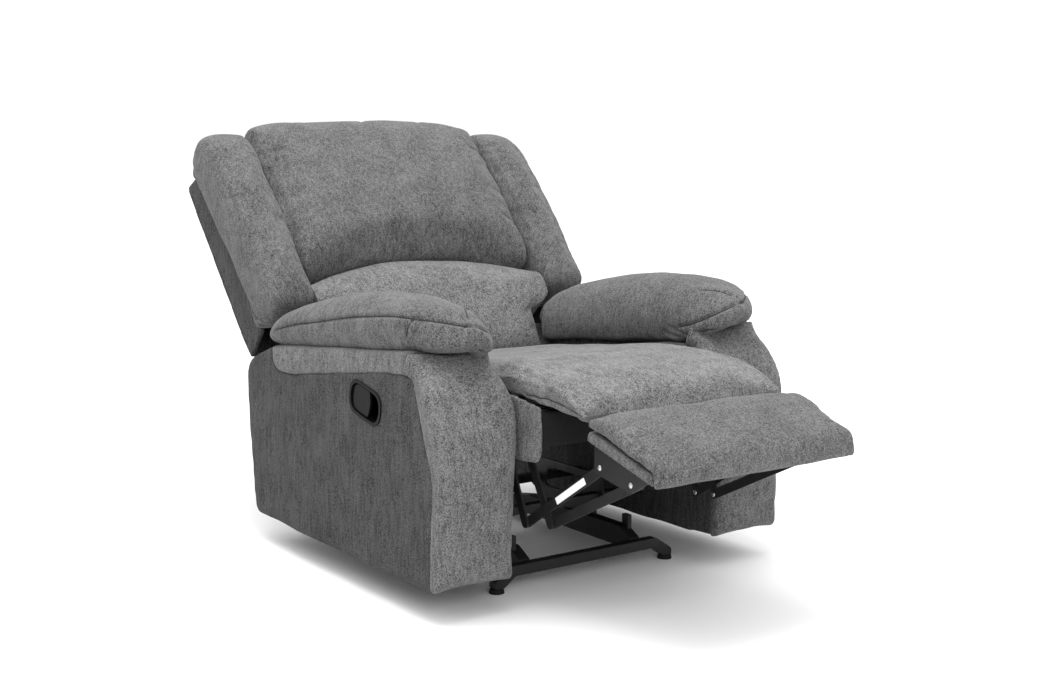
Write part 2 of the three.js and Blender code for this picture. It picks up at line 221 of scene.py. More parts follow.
def fabric_material(name, tone, streaks, sheen=0.12):
    """Heathered chenille: a salt-and-pepper speckle, slubs along one direction and soft nap patches."""
    n = Nodes(name)
    speckle = n.noise(330, 4.0, rough=0.72)
    grain = n.noise(620, 1.0)
    slub = n.noise(120, 2.0, stretch=streaks, rough=0.6)
    nap = n.noise(13, 4.0, rough=0.62)
    total = n.spread(speckle, 0.38, 0.62, -0.55, 0.55)
    total = n.maths("ADD", total, n.spread(grain, 0.3, 0.7, -0.22, 0.22))
    total = n.maths("ADD", total, n.spread(slub, 0.34, 0.66, -0.2, 0.2))
    total = n.maths("ADD", total, n.spread(nap, 0.36, 0.64, -0.13, 0.13))
    light = n.spread(total, -0.75, 0.75, 0.0, 1.0)
    dark, pale = (tuple(c * tone * k for c in (1.0, 1.0, 1.005)) for k in (0.13, 2.0))
    n.link(n.mix(light, dark, pale), n.shader.inputs["Base Color"])
    n.set(Roughness=0.95, Sheen_Weight=sheen, Sheen_Roughness=0.5, Specular_IOR_Level=0.1)
    relief = n.maths("ADD", speckle, n.maths("MULTIPLY", slub, 0.5))
    n.bump(relief, 0.5, 0.0025)
    return n.material


def lining_material():
    n = Nodes("black_lining")
    weave = n.noise(700, 2.0)
    n.link(n.mix(weave, (0.004, 0.004, 0.004), (0.02, 0.02, 0.021)), n.shader.inputs["Base Color"])
    n.set(Roughness=0.95, Specular_IOR_Level=0.1)
    n.bump(weave, 0.5, 0.0008)
    return n.material


def steel_material(name, tone, roughness):
    n = Nodes(name)
    patches = n.noise(35, 3.0)
    peel = n.noise(900, 1.0)
    colour = n.mix(patches, (tone * 0.8,) * 3, (tone * 1.25,) * 3)
    n.link(colour, n.shader.inputs["Base Color"])
    n.link(n.spread(patches, 0.3, 0.7, roughness - 0.08, roughness + 0.08), n.shader.inputs["Roughness"])
    n.set(Specular_IOR_Level=0.3)
    n.bump(peel, 0.12, 0.0004)
    return n.material


def bright_steel_material():
    n = Nodes("bright_rivets")
    brushed = n.noise(600, 2.0)
    n.link(n.mix(brushed, (0.42, 0.42, 0.43), (0.66, 0.66, 0.67)), n.shader.inputs["Base Color"])
    n.link(n.spread(brushed, 0.3, 0.7, 0.24, 0.4), n.shader.inputs["Roughness"])
    n.set(Metallic=1.0)
    n.bump(brushed, 0.1, 0.0003)
    return n.material


def plastic_material(name, tone, roughness):
    n = Nodes(name)
    grain = n.noise(1300, 2.0)
    n.link(n.mix(grain, (tone * 0.85,) * 3, (tone * 1.2,) * 3), n.shader.inputs["Base Color"])
    n.link(n.spread(grain, 0.3, 0.7, roughness - 0.05, roughness + 0.05), n.shader.inputs["Roughness"])
    n.set(Specular_IOR_Level=0.1)
    n.bump(grain, 0.15, 0.0003)
    return n.material


def wood_material():
    n = Nodes("board_wood")
    rings = n.noise(26, 4.0, stretch=(1, 9, 9))
    n.link(n.mix(rings, (0.42, 0.29, 0.16), (0.66, 0.50, 0.31)), n.shader.inputs["Base Color"])
    n.set(Roughness=0.7)
    n.bump(rings, 0.2, 0.0006)
    return n.material


def thread_material(name, tone):
    n = Nodes(name)
    twist = n.noise(1500, 1.0)
    n.link(n.mix(twist, (tone * 0.6,) * 3, (tone * 1.4,) * 3), n.shader.inputs["Base Color"])
    n.set(Roughness=0.8, Specular_IOR_Level=0.2)
    n.bump(twist, 0.2, 0.0003)
    return n.material


def label_material():
    n = Nodes("blank_label")
    paper = n.noise(500, 2.0)
    n.link(n.mix(paper, (0.78, 0.78, 0.77), (0.88, 0.88, 0.87)), n.shader.inputs["Base Color"])
    n.set(Roughness=0.6)
    n.bump(paper, 0.1, 0.0002)
    return n.material


def floor_material():
    """Pale grey round the chair, with painted light far off: paler where the lamps' light falls away, so
    that no horizon shows.
    """
    n = Nodes("pale_floor")
    where = n.add("ShaderNodeTexCoord")
    far = n.add("ShaderNodeVectorMath", operation="LENGTH")
    n.link(where.outputs["Object"], far.inputs[0])
    painted_far_light = n.spread(far.outputs["Value"], 1.6, 4.5, 0.0, 1.0)
    n.link(n.mix(painted_far_light, (0.87, 0.87, 0.875), (0.93, 0.93, 0.935)), n.shader.inputs["Base Color"])
    n.set(Roughness=0.8, Specular_IOR_Level=0.1)
    return n.material


# ---------------------------------------------------------------- mesh helpers

def leaning(s, t):
    """The (y, z) of a point s metres up the leaning back and t metres in front of its hinge line."""
    return BACK_PIVOT + s * UP_BACK[1:] + t * OUT_OF_BACK[1:]


def rounded_loop(corners, radius=0.0, step=0.008, count=None):
    """A closed loop of evenly spaced points; a third number in a corner is its own rounding."""
    points = []
    for i, corner in enumerate(corners):
        here = np.array(corner[:2], float)
        r = corner[2] if len(corner) > 2 else radius
        ends = []
        for other in (corners[i - 1], corners[(i + 1) % len(corners)]):
            way = np.array(other[:2], float) - here
            ends.append(here + way * min(0.49, r / np.linalg.norm(way)))
        for k in np.linspace(0, 1, 9 if r > 0 else 1):
            points.append((1 - k) ** 2 * ends[0] + 2 * k * (1 - k) * here + k * k * ends[1])
    loop = np.array(points)
    closed = np.vstack([loop, loop[:1]])
    lengths = np.concatenate([[0], np.cumsum(np.linalg.norm(np.diff(closed, axis=0), axis=1))])
    places = np.linspace(0, lengths[-1], count or max(12, int(lengths[-1] / step)), endpoint=False)
    return np.column_stack([np.interp(places, lengths, closed[:, k]) for k in (0, 1)])


def make_object(name, vertices, faces):
    mesh = bpy.data.meshes.new(name)
    mesh.from_pydata([tuple(v) for v in vertices], [], faces)
    mesh.validate()
    obj = bpy.data.objects.new(name, mesh)
    bpy.context.collection.objects.link(obj)
    make_outward(obj)
    return obj


def make_outward(obj):
    bm = bmesh.new()
    bm.from_mesh(obj.data)
    bmesh.ops.recalc_face_normals(bm, faces=bm.faces)
    bm.to_mesh(obj.data)
    bm.free()


def slab(name, loop, low, high):
    """A closed loop in (y, z) drawn straight across from x = low to x = high."""
    count = len(loop)
    vertices = [(x, y, z) for x in (low, high) for y, z in loop]
    faces = [(i, (i + 1) % count, count + (i + 1) % count, count + i) for i in range(count)]
    faces += [tuple(range(count - 1, -1, -1)), tuple(range(count, 2 * count))]
    return make_object(name, vertices, faces)


def loft(name, rings):
    """A closed skin over rings that all have the same number of points."""
    count = len(rings[0])
    vertices = [tuple(p) for ring in rings for p in ring]
    faces = []
    for k in range(len(rings) - 1):
        for i in range(count):
            a, b = k * count + i, k * count + (i + 1) % count
            faces.append((a, b, b + count, a + count))
    last = (len(rings) - 1) * count
    faces += [tuple(range(count - 1, -1, -1)), tuple(range(last, last + count))]
    return make_object(name, vertices, faces)


def coords(obj):
    co = np.zeros(len(obj.data.vertices) * 3)
    obj.data.vertices.foreach_get("co", co)
    return co.reshape(-1, 3)


def set_coords(obj, co):
    obj.data.vertices.foreach_set("co", co.ravel())
    obj.data.update()


def normals(obj):
    n = np.zeros(len(obj.data.vertices) * 3)
    obj.data.vertices.foreach_get("normal", n)
    return n.reshape(-1, 3)


def apply_modifier(obj, kind, **settings):
    modifier = obj.modifiers.new(kind.title(), kind)
    for key, value in settings.items():
        setattr(modifier, key, value)
    with bpy.context.temp_override(object=obj, active_object=obj):
        bpy.ops.object.modifier_apply(modifier=modifier.name)


def soften(obj, rounds, voxel=VOXEL):
    """Even mesh with its edges rounded off by repeated smoothing."""
    apply_modifier(obj, "REMESH", mode="VOXEL", voxel_size=voxel)
    apply_modifier(obj, "SMOOTH", factor=0.5, iterations=rounds)


def refit(obj, start, axes):
    """Stretches a swollen pad back to its starting length along each axis."""
    co = coords(obj)
    for axis in axes:
        now, was = co @ axis, start @ axis
        stretch = (was.max() - was.min()) / (now.max() - now.min())
        co += np.outer(was.min() + (now - now.min()) * stretch - now, axis)
    set_coords(obj, co)


def puff(obj, cap, axes=(), pressure=4.0, frames=20):
    """Swells a pad under pressure like a filled cover, moving no point further than the cap."""
    start = coords(obj)
    cloth = obj.modifiers.new("Cloth", "CLOTH")
    settings = cloth.settings
    settings.quality = 4
    settings.mass = 0.3
    settings.tension_stiffness = 15
    settings.compression_stiffness = 15
    settings.bending_stiffness = 0.6
    settings.use_pressure = True
    settings.uniform_pressure_force = pressure
    settings.effector_weights.gravity = 0
    cloth.collision_settings.use_collision = False
    scene = bpy.context.scene
    for number in range(1, frames + 1):
        scene.frame_set(number)
    shown = obj.evaluated_get(bpy.context.evaluated_depsgraph_get())
    end = np.zeros(len(start) * 3)
    shown.data.vertices.foreach_get("co", end)
    obj.modifiers.remove(cloth)
    scene.frame_set(1)
    move = end.reshape(-1, 3) - start
    length = np.linalg.norm(move, axis=1, keepdims=True)
    set_coords(obj, start + move * cap * np.tanh(length / cap) / np.maximum(length, 1e-9))
    refit(obj, start, axes)


def undulate(obj, size, wave, seed):
    """Slow unevenness of hand-filled covers."""
    co, n = coords(obj), normals(obj)
    shift = Vector((seed * 3.7, seed * 1.9, seed * 5.3))
    lift = np.array([noise.noise(Vector(p) / wave + shift) for p in co])
    set_coords(obj, co + n * (lift * size)[:, None])


def subdivide(obj):
    apply_modifier(obj, "SUBSURF", levels=1, render_levels=1)


def densify(path, step=0.002):
    path = np.asarray(path, float)
    lengths = np.concatenate([[0], np.cumsum(np.linalg.norm(np.diff(path, axis=0), axis=1))])
    places = np.linspace(0, lengths[-1], max(2, int(lengths[-1] / step)))
    return np.column_stack([np.interp(places, lengths, path[:, k]) for k in range(3)])


def smooth_path(points, rounds=3):
    """An open path through given points with its corners cut smooth."""
    path = np.asarray(points, float)
    for _ in range(rounds):
        cut = np.empty((2 * (len(path) - 1), 3))
        cut[0::2] = path[:-1] * 0.75 + path[1:] * 0.25
        cut[1::2] = path[:-1] * 0.25 + path[1:] * 0.75
        path = np.vstack([path[:1], cut, path[-1:]])
    return densify(path)


def evened(rows, reach=7):
    """Each row averaged with its neighbours, the ends held."""
    padded = np.vstack([rows[:1]] * reach + [rows] + [rows[-1:]] * reach)
    sums = np.cumsum(np.vstack([np.zeros((1, 3)), padded]), axis=0)
    return (sums[2 * reach + 1:] - sums[:-2 * reach - 1]) / (2 * reach + 1)


def onto(obj, path):
    """The same path laid on an object's surface, evened out, with the surface's normals."""
    spots, ways = [], []
    for p in path:
        _, spot, way, _ = obj.closest_point_on_mesh(Vector(p))
        spots.append(spot)
        ways.append(way)
    spots, ways = evened(np.array(spots)), evened(np.array(ways))
    return spots, ways / np.linalg.norm(ways, axis=1, keepdims=True)


def groove(obj, spots, width, depth):
    """Presses a seam line into a surface, along points on it."""
    tree = kdtree.KDTree(len(spots))
    for i, p in enumerate(spots):
        tree.insert(p, i)
    tree.balance()
    co, n = coords(obj), normals(obj)
    low, high = spots.min(0) - 4 * width, spots.max(0) + 4 * width
    for i in np.nonzero(((co > low) & (co < high)).all(1))[0]:
        gap = tree.find(co[i])[2]
        if gap < 4 * width:
            co[i] -= n[i] * depth * math.exp(-((gap / width) ** 2))
    set_coords(obj, co)


def tube(name, path, radius, sides=5):
    """A thin thread along a path, as a closed mesh."""
    rings = []
    for i, p in enumerate(path):
        way = path[min(i + 1, len(path) - 1)] - path[max(i - 1, 0)]
        way = way / max(np.linalg.norm(way), 1e-9)
        side = np.cross(way, [0.0, 0.0, 1.0] if abs(way[2]) < 0.9 else [0.0, 1.0, 0.0])
        side /= np.linalg.norm(side)
        up = np.cross(side, way)
        angles = np.arange(sides) * 2 * math.pi / sides
        rings.append([p + radius * (math.cos(a) * side + math.sin(a) * up) for a in angles])
    return loft(name, rings)


def join(name, parts):
    """Several meshes as one object."""
    bm = bmesh.new()
    for part in parts:
        part.data.transform(part.matrix_world)
        bm.from_mesh(part.data)
        mesh = part.data
        bpy.data.objects.remove(part)
        bpy.data.meshes.remove(mesh)
    mesh = bpy.data.meshes.new(name)
    bm.to_mesh(mesh)
    bm.free()
    obj = bpy.data.objects.new(name, mesh)
    bpy.context.collection.objects.link(obj)
    return obj


def stitches(name, obj, path, length=0.0055, gap=0.0035, radius=0.0006, lift=0.0004):
    """A row of thread stitches laid on a surface along a path."""
    spots, ways = onto(obj, densify(path, 0.0015))
    spots = spots + ways * lift
    run = np.concatenate([[0], np.cumsum(np.linalg.norm(np.diff(spots, axis=0), axis=1))])
    parts = []
    start = 0.0
    while start + length < run[-1]:
        places = np.linspace(start, start + length, 4)
        piece = np.column_stack([np.interp(places, run, spots[:, k]) for k in range(3)])
        parts.append(tube("stitch", piece, radius))
        start += length + gap
    return join(name, parts)


def mirrored(obj, name):
    copy = bpy.data.objects.new(name, obj.data.copy())
    bpy.context.collection.objects.link(copy)
    copy.data.transform(Matrix.Scale(-1, 4, (1, 0, 0)))
    copy.data.flip_normals()
    return copy


def finish_piece(obj, material, body=None, replaces=(), smooth=True):
    obj.data.materials.clear()
    obj.data.materials.append(material)
    if smooth:
        obj.data.polygons.foreach_set("use_smooth", [True] * len(obj.data.polygons))
    if body:
        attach(obj, body)
    if replaces:
        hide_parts(*replaces)
    return obj


# One fabric in four copies whose tones are painted light and shade: the seat copy lightest, painted light
# for faces lit from above and the lumbar; the front and back copies darker, painted shade; the side copy
# darkest, painted shade on the sides, rears and outside back turned from the light.
LIT_AND_SHADED_FABRIC = {
    "seat": fabric_material("fabric_seat", 0.119, (1.0, 0.3, 1.0)),
    "front": fabric_material("fabric_front_painted_shade", 0.103, (1.0, 1.0, 0.3)),
    "side": fabric_material("fabric_side_painted_shade", 0.050, (1.0, 1.0, 0.16), 0.03),
    "back": fabric_material("fabric_back_painted_shade", 0.085, (1.0, 1.0, 0.3)),
}
LINING = lining_material()
STEEL = steel_material("black_steel", 0.010, 0.45)
RIVET = bright_steel_material()
PLASTIC = plastic_material("black_plastic", 0.004, 0.5)
RUBBER = plastic_material("foot_rubber", 0.012, 0.7)
WOOD = wood_material()
LABEL = label_material()
THREAD = thread_material("seam_thread", 0.03)
STITCH = thread_material("stitch_thread", 0.17)

# Seam threads and stitch rows wait here by body, and become one piece for each body.
SEWN = {"seam": {}, "stitch": {}}


def seam_thread(spots, ways, sink):
    return tube("seam", (spots - ways * sink)[::2], THREAD_RADIUS)


def seam(obj, path, body, width=0.0045, depth=0.005, thread=True):
    """A sewn line: a pressed groove, with a thin dark thread in it unless it is only a pucker."""
    spots, ways = onto(obj, smooth_path(path))
    groove(obj, spots, width, depth)
    if thread:
        SEWN["seam"].setdefault(body, []).append(seam_thread(spots, ways, depth * 0.6))


def top_stitch(obj, path, body):
    """A row of visible stitches beside a seam."""
    SEWN["stitch"].setdefault(body, []).append(stitches("stitch_row", obj, smooth_path(path)))


def gather_sewing():
    for kind, material in (("seam", THREAD), ("stitch", STITCH)):
        for body, parts in SEWN[kind].items():
            finish_piece(join(f"{kind}_threads_{body}", parts), material, body)


def mirrored_path(path, side):
    return [(side * x, y, z) for x, y, z in path]


# ---------------------------------------------------------------- arms

PILLOW_STATIONS = [
    # y, inner x, outer x, low z, top z, lowest z of the inner skirt
    (0.350, 0.345, 0.468, 0.514, 0.544, 0.515), (0.336, 0.318, 0.486, 0.513, 0.562, 0.510),
    (0.306, 0.302, 0.496, 0.515, 0.584, 0.506), (0.276, 0.297, 0.500, 0.519, 0.599, 0.462),
    (0.210, 0.294, 0.501, 0.526, 0.618, 0.467), (0.110, 0.294, 0.502, 0.535, 0.640, 0.478),
    (0.010, 0.294, 0.502, 0.545, 0.659, 0.489), (-0.100, 0.294, 0.502, 0.555, 0.673, 0.501),
    (-0.200, 0.294, 0.502, 0.565, 0.678, 0.512), (-0.270, 0.294, 0.500, 0.572, 0.675, 0.520),
    (-0.320, 0.295, 0.491, 0.577, 0.669, 0.530), (-0.355, 0.299, 0.476, 0.578, 0.661, 0.543),
    (-0.382, 0.307, 0.457, 0.579, 0.651, 0.556), (-0.406, 0.318, 0.434, 0.581, 0.638, 0.566),
    (-0.424, 0.335, 0.408, 0.588, 0.622, 0.580),
]
SKIRT_WIDTH = 0.036
SKIRT_OUTER = 0.336
PILLOW_LIMITS = (0.2915, 0.503)

# Lines in (y, z), rear end first: what the pillow rests on, what its skirt rests on, and the arm's edge.
ARM_TOP_LINE = ((0.304, 0.5145), (-0.325, 0.5755))
SEAT_LEVEL_LINE = ((0.284, 0.4565), (-0.311, 0.5235))
ARM_EDGE_LINE = ((0.304, 0.512), (-0.325, 0.573))


def pillow_ring(y, inner, outer, low, top, skirt):
    """One cross-section of the left pillow: crowned, its inner side hanging over the arm's edge."""
    lift = top - low
    corners = [
        (outer - 0.012, low, 0.010), (outer, low + 0.42 * lift, 0.03),
        (outer - 0.028, low + 0.88 * lift, 0.03), ((inner + outer) / 2, top, 0.05),
        (inner + 0.034, low + 0.86 * lift, 0.03), (inner, low + 0.2 * lift, 0.03),
        (inner + 0.002, skirt, 0.008), (inner + SKIRT_WIDTH, skirt, 0.006),
        (inner + SKIRT_WIDTH + 0.002, low, 0.004),
    ]
    return [(x, y, z) for x, z in rounded_loop(corners, count=72)]


def line_height(co, line):
    """Height of a line, given by its ends in (y, z), at every point's y."""
    start, end = line
    slope = (end[1] - start[1]) / (end[0] - start[0])
    return start[1] + (co[:, 1] - start[0]) * slope


def settle_pillow(obj):
    """Flattens the pillow where it rests on the arm top and where its skirt meets the seat."""
    co = coords(obj)
    over_top = (co[:, 0] > SKIRT_OUTER) & (co[:, 1] > -0.326)
    co[over_top, 2] = np.maximum(co[over_top, 2], line_height(co, ARM_TOP_LINE)[over_top])
    skirt = (co[:, 0] <= SKIRT_OUTER) & (co[:, 1] > -0.311) & (co[:, 1] < 0.284)
    co[skirt, 2] = np.maximum(co[skirt, 2], line_height(co, SEAT_LEVEL_LINE)[skirt])
    beside = (co[:, 0] < SKIRT_OUTER + 0.004) & (co[:, 2] < line_height(co, ARM_EDGE_LINE))
    co[beside, 0] = np.minimum(co[beside, 0], 0.3345)
    co[:, 0] = np.clip(co[:, 0], *PILLOW_LIMITS)
    set_coords(obj, co)


def sew_pillow(obj, side):
    """The seam along the side and round the front, the end cap's seams, then unthreaded puckers."""
    round_path = [
        (0.49, 0.29, 0.553), (0.50, 0.20, 0.576), (0.50, 0.10, 0.594), (0.50, -0.05, 0.618),
        (0.50, -0.14, 0.634), (0.498, -0.25, 0.646), (0.478, -0.33, 0.646), (0.44, -0.37, 0.636),
        (0.40, -0.40, 0.625), (0.36, -0.40, 0.610), (0.325, -0.38, 0.595), (0.300, -0.33, 0.575),
        (0.296, -0.29, 0.566),
    ]
    cap = [(0.335, -0.315, 0.668), (0.362, -0.352, 0.655), (0.385, -0.388, 0.630), (0.402, -0.40, 0.606),
           (0.412, -0.38, 0.590), (0.418, -0.355, 0.580)]
    cross = [(0.476, -0.325, 0.648), (0.485, -0.318, 0.625), (0.488, -0.31, 0.598)]
    fold = [(0.30, -0.355, 0.556), (0.33, -0.395, 0.572), (0.365, -0.405, 0.580)]
    for path in (round_path, cap, cross, fold):
        seam(obj, mirrored_path(path, side), "frame")
    puckers = [
        [(0.297, -0.325, 0.545), (0.296, -0.285, 0.556), (0.296, -0.250, 0.562)],
        [(0.297, -0.300, 0.533), (0.296, -0.265, 0.543), (0.296, -0.235, 0.546)],
        [(0.470, -0.345, 0.592), (0.485, -0.315, 0.612), (0.492, -0.290, 0.632)],
        [(0.455, -0.360, 0.596), (0.462, -0.350, 0.612), (0.466, -0.342, 0.632)],
        [(0.497, -0.250, 0.592), (0.499, -0.235, 0.612), (0.499, -0.228, 0.634)],
        [(0.500, -0.02, 0.560), (0.500, -0.008, 0.580), (0.500, -0.012, 0.604)],
        [(0.500, 0.03, 0.556), (0.500, 0.045, 0.575), (0.500, 0.042, 0.596)],
    ]
    for path in puckers:
        seam(obj, mirrored_path(path, side), "frame", 0.007, 0.0035, thread=False)


def add_pillows():
    left = loft("arm_pillow_pad_left", [pillow_ring(*station) for station in PILLOW_STATIONS])
    soften(left, 5)
    puff(left, 0.012, (ACROSS, ALONG))
    undulate(left, 0.004, 0.09, 1)
    settle_pillow(left)
    subdivide(left)
    right = mirrored(left, "arm_pillow_pad_right")
    for (name, side), obj in zip(SIDES.items(), (left, right)):
        sew_pillow(obj, side)
        finish_piece(obj, LIT_AND_SHADED_FABRIC["back"], "frame", [f"arm_pillow_{name}"])


# Side views of the left arm's covers in (y, z), each corner with its own rounding where it has one.
ARM_LOOP = [
    (-0.4255, 0.0715, 0.004), (0.0, 0.063, 0.2), (0.420, 0.0700, 0.012), (0.450, 0.255, 0.09),
    (0.4600, 0.438, 0.03), (0.430, 0.4665, 0.012), (0.314, 0.5115), (0.300, 0.4570, 0.03),
    (0.210, 0.4560), (-0.229, 0.5215), (-0.326, 0.5275), (-0.358, 0.5215), (-0.4325, 0.3175, 0.05),
]
BAND_LOOP = [
    (0.300, 0.4520, 0.035), (0.312, 0.5110, 0.008), (-0.334, 0.5745), (-0.332, 0.5225),
    (-0.229, 0.5155, 0.05), (0.210, 0.4500, 0.05),
]
FRONT_LOOP = [
    (-0.444, 0.0705, 0.012), (-0.459, 0.25, 0.05), (-0.469, 0.354, 0.05), (-0.457, 0.446, 0.04),
    (-0.418, 0.503, 0.03), (-0.362, 0.546, 0.03), (-0.330, 0.576, 0.006), (-0.3155, 0.5235),
    (-0.350, 0.5235), (-0.4225, 0.318, 0.05), (-0.4175, 0.0715, 0.004),
]


def add_arm_boxes():
    """Each arm's wrapped box: outer side, rear and inner side in one cover."""
    for name, side in SIDES.items():
        low, high = sorted((side * 0.294, side * 0.4965))
        cover = slab(f"arm_cover_{name}", rounded_loop(ARM_LOOP, 0.004), low, high)
        soften(cover, 4, 0.007)
        undulate(cover, 0.0035, 0.11, 3 + side)
        co = coords(cover)
        co[:, 0] = side * np.clip(np.abs(co[:, 0]), 0.2935, 0.4985)
        set_coords(cover, co)
        subdivide(cover)
        if name == "right":
            cut_cup_hole(cover)
        nodes = [f"arm_{part}_{name}" for part in ("outer", "inner", "rear")]
        finish_piece(cover, LIT_AND_SHADED_FABRIC["side"], "frame", nodes)


def add_arm_fronts():
    band = slab("arm_band_left", rounded_loop(BAND_LOOP, 0.006), 0.3385, 0.4995)
    soften(band, 2, 0.005)
    puff(band, 0.003, (ACROSS, ALONG, UPWARD))
    subdivide(band)
    front = slab("arm_front_cover_left", rounded_loop(FRONT_LOOP, 0.01), 0.2900, 0.5030)
    soften(front, 4)
    puff(front, 0.010, (ACROSS, ALONG, UPWARD))
    undulate(front, 0.003, 0.12, 5)
    co = coords(front)
    co[:, 0] = np.clip(co[:, 0], 0.2885, 0.5045)
    set_coords(front, co)
    subdivide(front)
    edge = [(-0.335, 0.560), (-0.350, 0.535), (-0.372, 0.495), (-0.400, 0.430), (-0.417, 0.340),
            (-0.420, 0.240), (-0.4185, 0.150), (-0.4175, 0.078)]
    for piece, node in ((band, "arm_top"), (front, "arm_front_pad")):
        twin = mirrored(piece, piece.name.replace("left", "right"))
        for name, side, obj in (("left", 1, piece), ("right", -1, twin)):
            if node == "arm_front_pad":
                for ahead, lower in ((0.010, 0.004), (0.018, 0.006)):
                    row = [(side * 0.505, y - ahead, z - lower) for y, z in edge]
                    top_stitch(obj, row, "frame")
            finish_piece(obj, LIT_AND_SHADED_FABRIC["front"], "frame", [f"{node}_{name}"])


CUP_TILT = math.radians(12)


def cut_cup_hole(obj):
    """An opening for the release cup, following its tilted outline."""
    half, tall, middle = 0.0663, 0.0363, (-0.153, 0.440)
    cos, sin = math.cos(CUP_TILT), math.sin(CUP_TILT)
    corners = [(-half, -tall), (half, -tall), (half, tall), (-half, tall)]
    turned = [(middle[0] + u * cos - v * sin, middle[1] + u * sin + v * cos) for u, v in corners]
    tool = slab("cup_tool", rounded_loop(turned, tall, 0.004), -0.53, -0.450)
    apply_modifier(obj, "BOOLEAN", operation="DIFFERENCE", object=tool, solver="EXACT")
    bpy.data.objects.remove(tool)


# ---------------------------------------------------------------- seat, chaise and footrest

SEAT_HALF_WIDTH = 0.2835


def crown(obj, half, height, above):
    """Lifts the middle of a top surface, fading to nothing at the sides and below a height."""
    co = coords(obj)
    across = np.clip(1 - (co[:, 0] / half) ** 2, 0, 1)
    co[:, 2] += height * across * np.clip((co[:, 2] - above) / 0.04, 0, 1)
    set_coords(obj, co)


def add_seat():
    top = [(0.222, 0.440, 0.02), (0.180, 0.451), (-0.004, 0.472), (-0.164, 0.492), (-0.330, 0.517, 0.08),
           (-0.455, 0.516, 0.06), (-0.555, 0.504, 0.04), (-0.615, 0.485, 0.03), (-0.655, 0.458, 0.01),
           (-0.669, 0.448, 0.002)]
    under = [(-0.666, 0.4445), (-0.600, 0.455), (-0.532, 0.462), (-0.512, 0.4645), (-0.417, 0.477),
             (-0.340, 0.477), (0.195, 0.406), (0.222, 0.410, 0.01)]
    pad = slab("seat_and_chaise_pad", rounded_loop(top + under, 0.0), -0.2825, 0.2825)
    soften(pad, 6)
    puff(pad, 0.022, (ACROSS, ALONG))
    crown(pad, 0.285, 0.002, 0.47)
    undulate(pad, 0.004, 0.11, 7)
    co = coords(pad)
    co[:, 0] = np.clip(co[:, 0], -SEAT_HALF_WIDTH, SEAT_HALF_WIDTH)
    co[:, 1] = np.maximum(co[:, 1], -0.671)
    floor_y, floor_z = [-0.6, -0.512, -0.417, -0.340, 0.2], [0.4475, 0.4635, 0.4755, 0.4755, 0.4045]
    low = np.interp(co[:, 1], floor_y, floor_z)
    co[:, 2] = np.maximum(co[:, 2], np.where(co[:, 1] > floor_y[0], low, 0.4415))
    set_coords(pad, co)
    subdivide(pad)
    edge = [(-0.44, 0.476), (-0.50, 0.478), (-0.56, 0.476), (-0.62, 0.464), (-0.662, 0.452)]
    sewn = []
    for side in SIDES.values():
        spots, ways = onto(pad, smooth_path([(side * 0.286, y, z) for y, z in edge]))
        groove(pad, spots, 0.004, 0.0035)
        sewn.append(seam_thread(spots, ways, 0.0028))
    threads = finish_piece(join("chaise_edge_threads", sewn), THREAD)
    finish_piece(pad, LIT_AND_SHADED_FABRIC["seat"], None, ["seat_cushion", "chaise_pad"])
    for piece in (pad, threads):
        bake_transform(piece)


FOOTREST_HALF_WIDTH = 0.281
FOOTREST_FRONT = -0.898


def add_footrest():
    pad_loop = [
        (-0.6735, 0.4395), (-0.6735, 0.454, 0.010), (-0.705, 0.464, 0.03), (-0.755, 0.455, 0.04),
        (-0.842, 0.421, 0.03), (-0.886, 0.402, 0.02), (FOOTREST_FRONT, 0.376, 0.02),
        (-0.8925, 0.351, 0.010), (-0.876, 0.348, 0.004), (-0.874, 0.384, 0.004), (-0.842, 0.3935),
    ]
    outline = rounded_loop(pad_loop, 0.0, 0.006)
    pad = slab("footrest_cover_pad", outline, -FOOTREST_HALF_WIDTH, FOOTREST_HALF_WIDTH)
    round_plan_corners(pad, FOOTREST_HALF_WIDTH, FOOTREST_FRONT, 0.035)
    soften(pad, 4, 0.005)
    puff(pad, 0.012, (ACROSS, ALONG))
    crown(pad, 0.275, 0.006, 0.42)
    undulate(pad, 0.003, 0.1, 9)
    co = coords(pad)
    under = np.interp(co[:, 1], [-0.874, -0.672], [0.3845, 0.4398])
    co[:, 2] = np.where(co[:, 1] > -0.868, np.maximum(co[:, 2], under), co[:, 2])
    co[:, 1] = np.minimum(co[:, 1], -0.6722)
    set_coords(pad, co)
    subdivide(pad)
    for side in SIDES.values():
        corner = [(0.262, -0.888, 0.392), (0.262, -0.893, 0.372), (0.260, -0.888, 0.352)]
        seam(pad, mirrored_path(corner, side), "footrest", 0.0035, 0.003)
    finish_piece(pad, LIT_AND_SHADED_FABRIC["back"], "footrest", ["footrest_pad"])
    board_loop = [(-0.670, 0.4375), (-0.663, 0.415), (-0.871, 0.3585), (-0.8725, 0.3805)]
    board = slab("footrest_wrapped_board", rounded_loop(board_loop, 0.005, 0.005), -0.274, 0.274)
    soften(board, 3, 0.004)
    finish_piece(board, LIT_AND_SHADED_FABRIC["back"], "footrest", ["footrest_board"])


def round_plan_corners(obj, half, front, radius):
    """Rounds the two front corners as seen from above, by sliding the ends inwards."""
    apply_modifier(obj, "REMESH", mode="VOXEL", voxel_size=0.005)
    co = coords(obj)
    inside = np.clip((front + radius - co[:, 1]) / radius, 0, 1)
    limit = half - radius * (1 - np.sqrt(1 - inside ** 2))
    co[:, 0] = np.clip(co[:, 0], -limit, limit)
    set_coords(obj, co)


